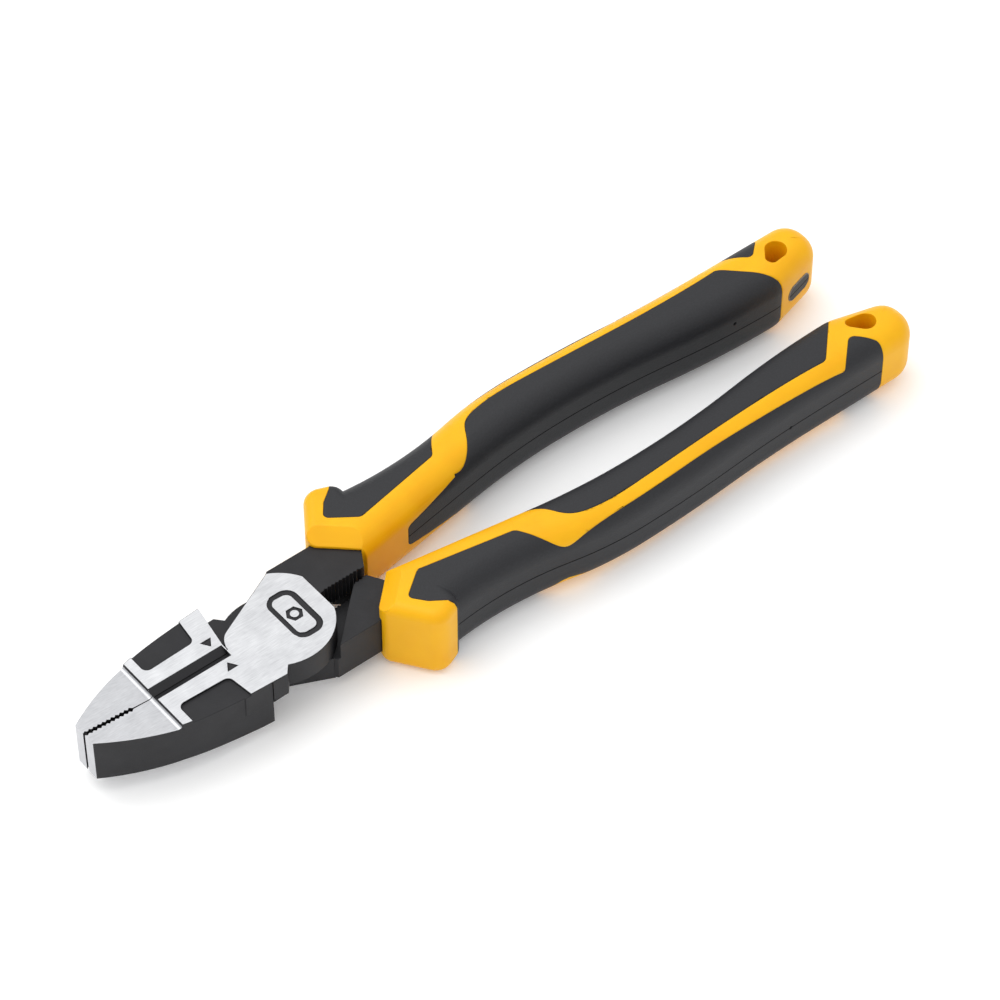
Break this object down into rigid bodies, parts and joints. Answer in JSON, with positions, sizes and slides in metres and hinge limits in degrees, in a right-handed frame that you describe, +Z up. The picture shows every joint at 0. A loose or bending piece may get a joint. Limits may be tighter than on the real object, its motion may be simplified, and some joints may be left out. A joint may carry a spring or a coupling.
{
  "type": "lineman pliers",
  "caption": "Lineman pliers with serrated nose, side cutters, ground lap joint, forged steel halves on a rivet, and curved two-material grips with finger guards and lanyard holes.",
  "frame": {"origin": "bottom centre of the closed pliers' bounding box, on the surface the grips lie on", "axes": "+X from the jaws to the ends of the handles, +Z up along the hinge, +Y to the right of the tool as it points away"},
  "size_m": [0.2414, 0.0552, 0.0212],
  "materials": {
    "forged_steel": "black phosphated forging with ground faces",
    "rivet_steel": "ground flush",
    "grip_yellow": "satin moulded",
    "grip_black": "fine matte texture",
    "badge_grey": "satin, thin light rim"
  },
  "bodies": {
    "upper_half": {"forged_half_upper": "forged_steel", "pivot_rivet": "rivet_steel", "right_grip_shell": "grip_yellow", "right_outer_pad": "grip_black", "right_inner_pad": "grip_black", "right_end_badge": "badge_grey"},
    "lower_half": {"forged_half_lower": "forged_steel", "left_grip_shell": "grip_yellow", "left_outer_pad": "grip_black", "left_inner_pad": "grip_black", "left_end_badge": "badge_grey"}
  },
  "joints": [
    {"name": "pivot", "type": "hinge", "parent": "lower_half", "child": "upper_half", "pos_m": [-0.06495, 0, 0.0106], "axis": [0, 0, 1], "range_deg": [0, 50]}
  ]
}
